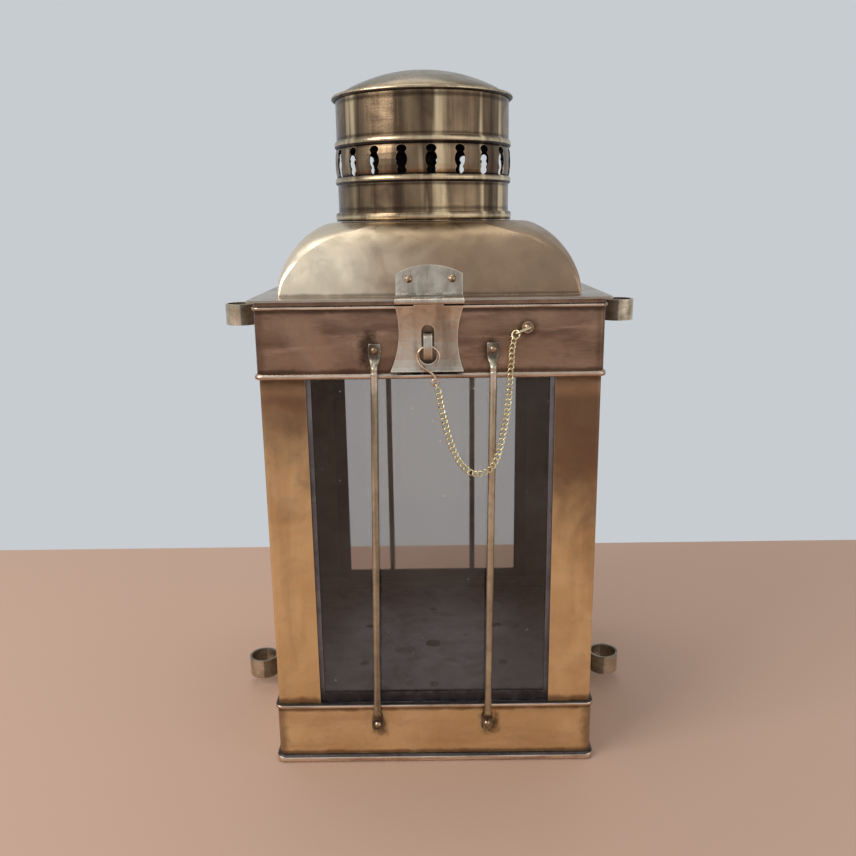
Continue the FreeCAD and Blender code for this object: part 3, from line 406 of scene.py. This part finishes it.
def smooth_route(points, steps=24):
    """Points close together on a smooth curve through the given ones."""
    route = [Vector(p) for p in points]
    ends = [2 * route[0] - route[1]] + route + [2 * route[-1] - route[-2]]
    line = []
    for before, start, end, after in zip(ends, ends[1:], ends[2:], ends[3:]):
        for n in range(steps):
            t = n / steps
            leave, arrive = (end - before) / 2, (after - start) / 2
            line.append((2 * t**3 - 3 * t**2 + 1) * start + (t**3 - 2 * t**2 + t) * leave
                        + (3 * t**2 - 2 * t**3) * end + (t**3 - t**2) * arrive)
    line.append(route[-1])
    return line


def spaced(line, count):
    """Places and headings evenly spaced along a line."""
    runs = [0.0]
    for a, b in zip(line, line[1:]):
        runs.append(runs[-1] + (b - a).length)
    places = []
    k = 0
    for n in range(count):
        want = runs[-1] * n / (count - 1)
        while k < len(line) - 2 and runs[k + 1] < want:
            k += 1
        share = (want - runs[k]) / (runs[k + 1] - runs[k])
        places.append((line[k].lerp(line[k + 1], share), (line[k + 1] - line[k]).normalized()))
    return places


def add_loop(points, faces, centre, along, degrees, size, around=36, sides=10):
    """Closed wire loop round a place on the chain, twisted out of flat by its curl."""
    long, wide, curl, wire = size
    side = Vector((0, 1, 0)).cross(along).normalized()
    out = along.cross(side)
    turn = math.radians(degrees)
    flat = math.cos(turn) * side + math.sin(turn) * out
    face = math.cos(turn) * out - math.sin(turn) * side
    first = len(points)
    for n in range(around):
        w = 2 * math.pi * n / around
        place = centre + wide * math.cos(w) * flat + curl * math.sin(2 * w) * face + long * math.sin(w) * along
        heading = (-wide * math.sin(w) * flat + 2 * curl * math.cos(2 * w) * face
                   + long * math.cos(w) * along).normalized()
        radial = heading.cross(face).normalized()
        upright = radial.cross(heading)
        for m in range(sides):
            phi = 2 * math.pi * m / sides
            points.append((place + wire * (math.cos(phi) * radial + math.sin(phi) * upright)) * MM)
    for n in range(around):
        for m in range(sides):
            a, b = first + n * sides, first + (n + 1) % around * sides
            faces.append((a + m, a + (m + 1) % sides, b + (m + 1) % sides, b + m))


def chain():
    points, faces = [], []
    line = smooth_route(CHAIN_ROUTE)
    length = sum((b - a).length for a, b in zip(line, line[1:]))
    places = spaced(line, round(length / LINK_PITCH) + 1)
    for n, (centre, along) in enumerate(places):
        sway = 20 * math.sin(2 * math.pi * n / 19 + 2.2) * (1 - math.exp(-n / 3))
        add_loop(points, faces, centre, along, sway - 42 * math.exp(-n / 5.5), LINK)
    for centre, along, degrees, long, wide, wire in END_RINGS:
        size = (long, wide, 0.0, wire)
        add_loop(points, faces, Vector(centre), Vector(along).normalized(), degrees, size)
    mesh = bpy.data.meshes.new("curb_chain")
    mesh.from_pydata(points, [], faces)
    mesh.polygons.foreach_set("use_smooth", [True] * len(faces))
    mesh.materials.append(MATERIALS["chain_brass"])
    made = bpy.data.objects.new("curb_chain", mesh)
    bpy.context.scene.collection.objects.link(made)
    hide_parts("chain")
    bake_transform(made)


chain()


# Surroundings


def plane(name, corners, colour, rough):
    mesh = bpy.data.meshes.new(name)
    mesh.from_pydata(corners, [], [(0, 1, 2, 3)])
    made = bpy.data.objects.new(name, mesh)
    bpy.context.scene.collection.objects.link(made)
    g = Graph(name)
    g.set(Base_Color=colour, Roughness=rough)
    mesh.materials.append(g.material)


FLOOR_BACK = 0.27
plane("floor", [(-2, -2, 0), (2, -2, 0), (2, FLOOR_BACK, 0), (-2, FLOOR_BACK, 0)], rgba(191, 157, 136), 0.8)


def softbox(name, place, size, power, colour=(1, 1, 1)):
    """Square area light at a place, aimed at the middle of the lantern."""
    lamp = bpy.data.lights.new(name, "AREA")
    lamp.size = size
    lamp.energy = power
    lamp.color = colour
    made = bpy.data.objects.new(name, lamp)
    bpy.context.scene.collection.objects.link(made)
    made.location = place
    aim = Vector((0, 0, 0.24)) - Vector(place)
    made.rotation_euler = aim.to_track_quat("-Z", "Y").to_euler()


softbox("key", (-1.15, -0.8, 1.05), 0.9, 13.0, (1.0, 0.98, 0.95))
softbox("fill", (1.3, -1.0, 0.6), 1.2, 3.0)
softbox("top", (-0.2, 0.3, 1.7), 1.2, 6.0)

world = bpy.data.worlds.new("sky")
world.use_nodes = True
world.node_tree.nodes["Background"].inputs["Color"].default_value = (0.58, 0.61, 0.64, 1.0)
world.node_tree.nodes["Background"].inputs["Strength"].default_value = 0.99
bpy.context.scene.world = world


def camera():
    """Eye level with the top of the roof, looking 14 degrees down."""
    pitch, roll, yaw = 0.2428, -0.0133, -0.0027
    ahead = Vector((math.sin(yaw) * math.cos(pitch), math.cos(yaw) * math.cos(pitch), -math.sin(pitch)))
    level = Vector((math.cos(yaw), -math.sin(yaw), 0))
    above = level.cross(ahead)
    right = math.cos(roll) * level + math.sin(roll) * above
    up = math.cos(roll) * above - math.sin(roll) * level
    lens = bpy.data.cameras.new("camera")
    lens.sensor_width = 36.0
    lens.lens = 35.47
    lens.clip_start = 0.01
    made = bpy.data.objects.new("camera", lens)
    bpy.context.scene.collection.objects.link(made)
    spin = Matrix((right, up, -ahead)).transposed().to_4x4()
    made.matrix_world = Matrix.Translation((-0.0004, -0.5784, 0.3395)) @ spin
    bpy.context.scene.camera = made


camera()
bpy.context.scene.view_settings.view_transform = "Standard"
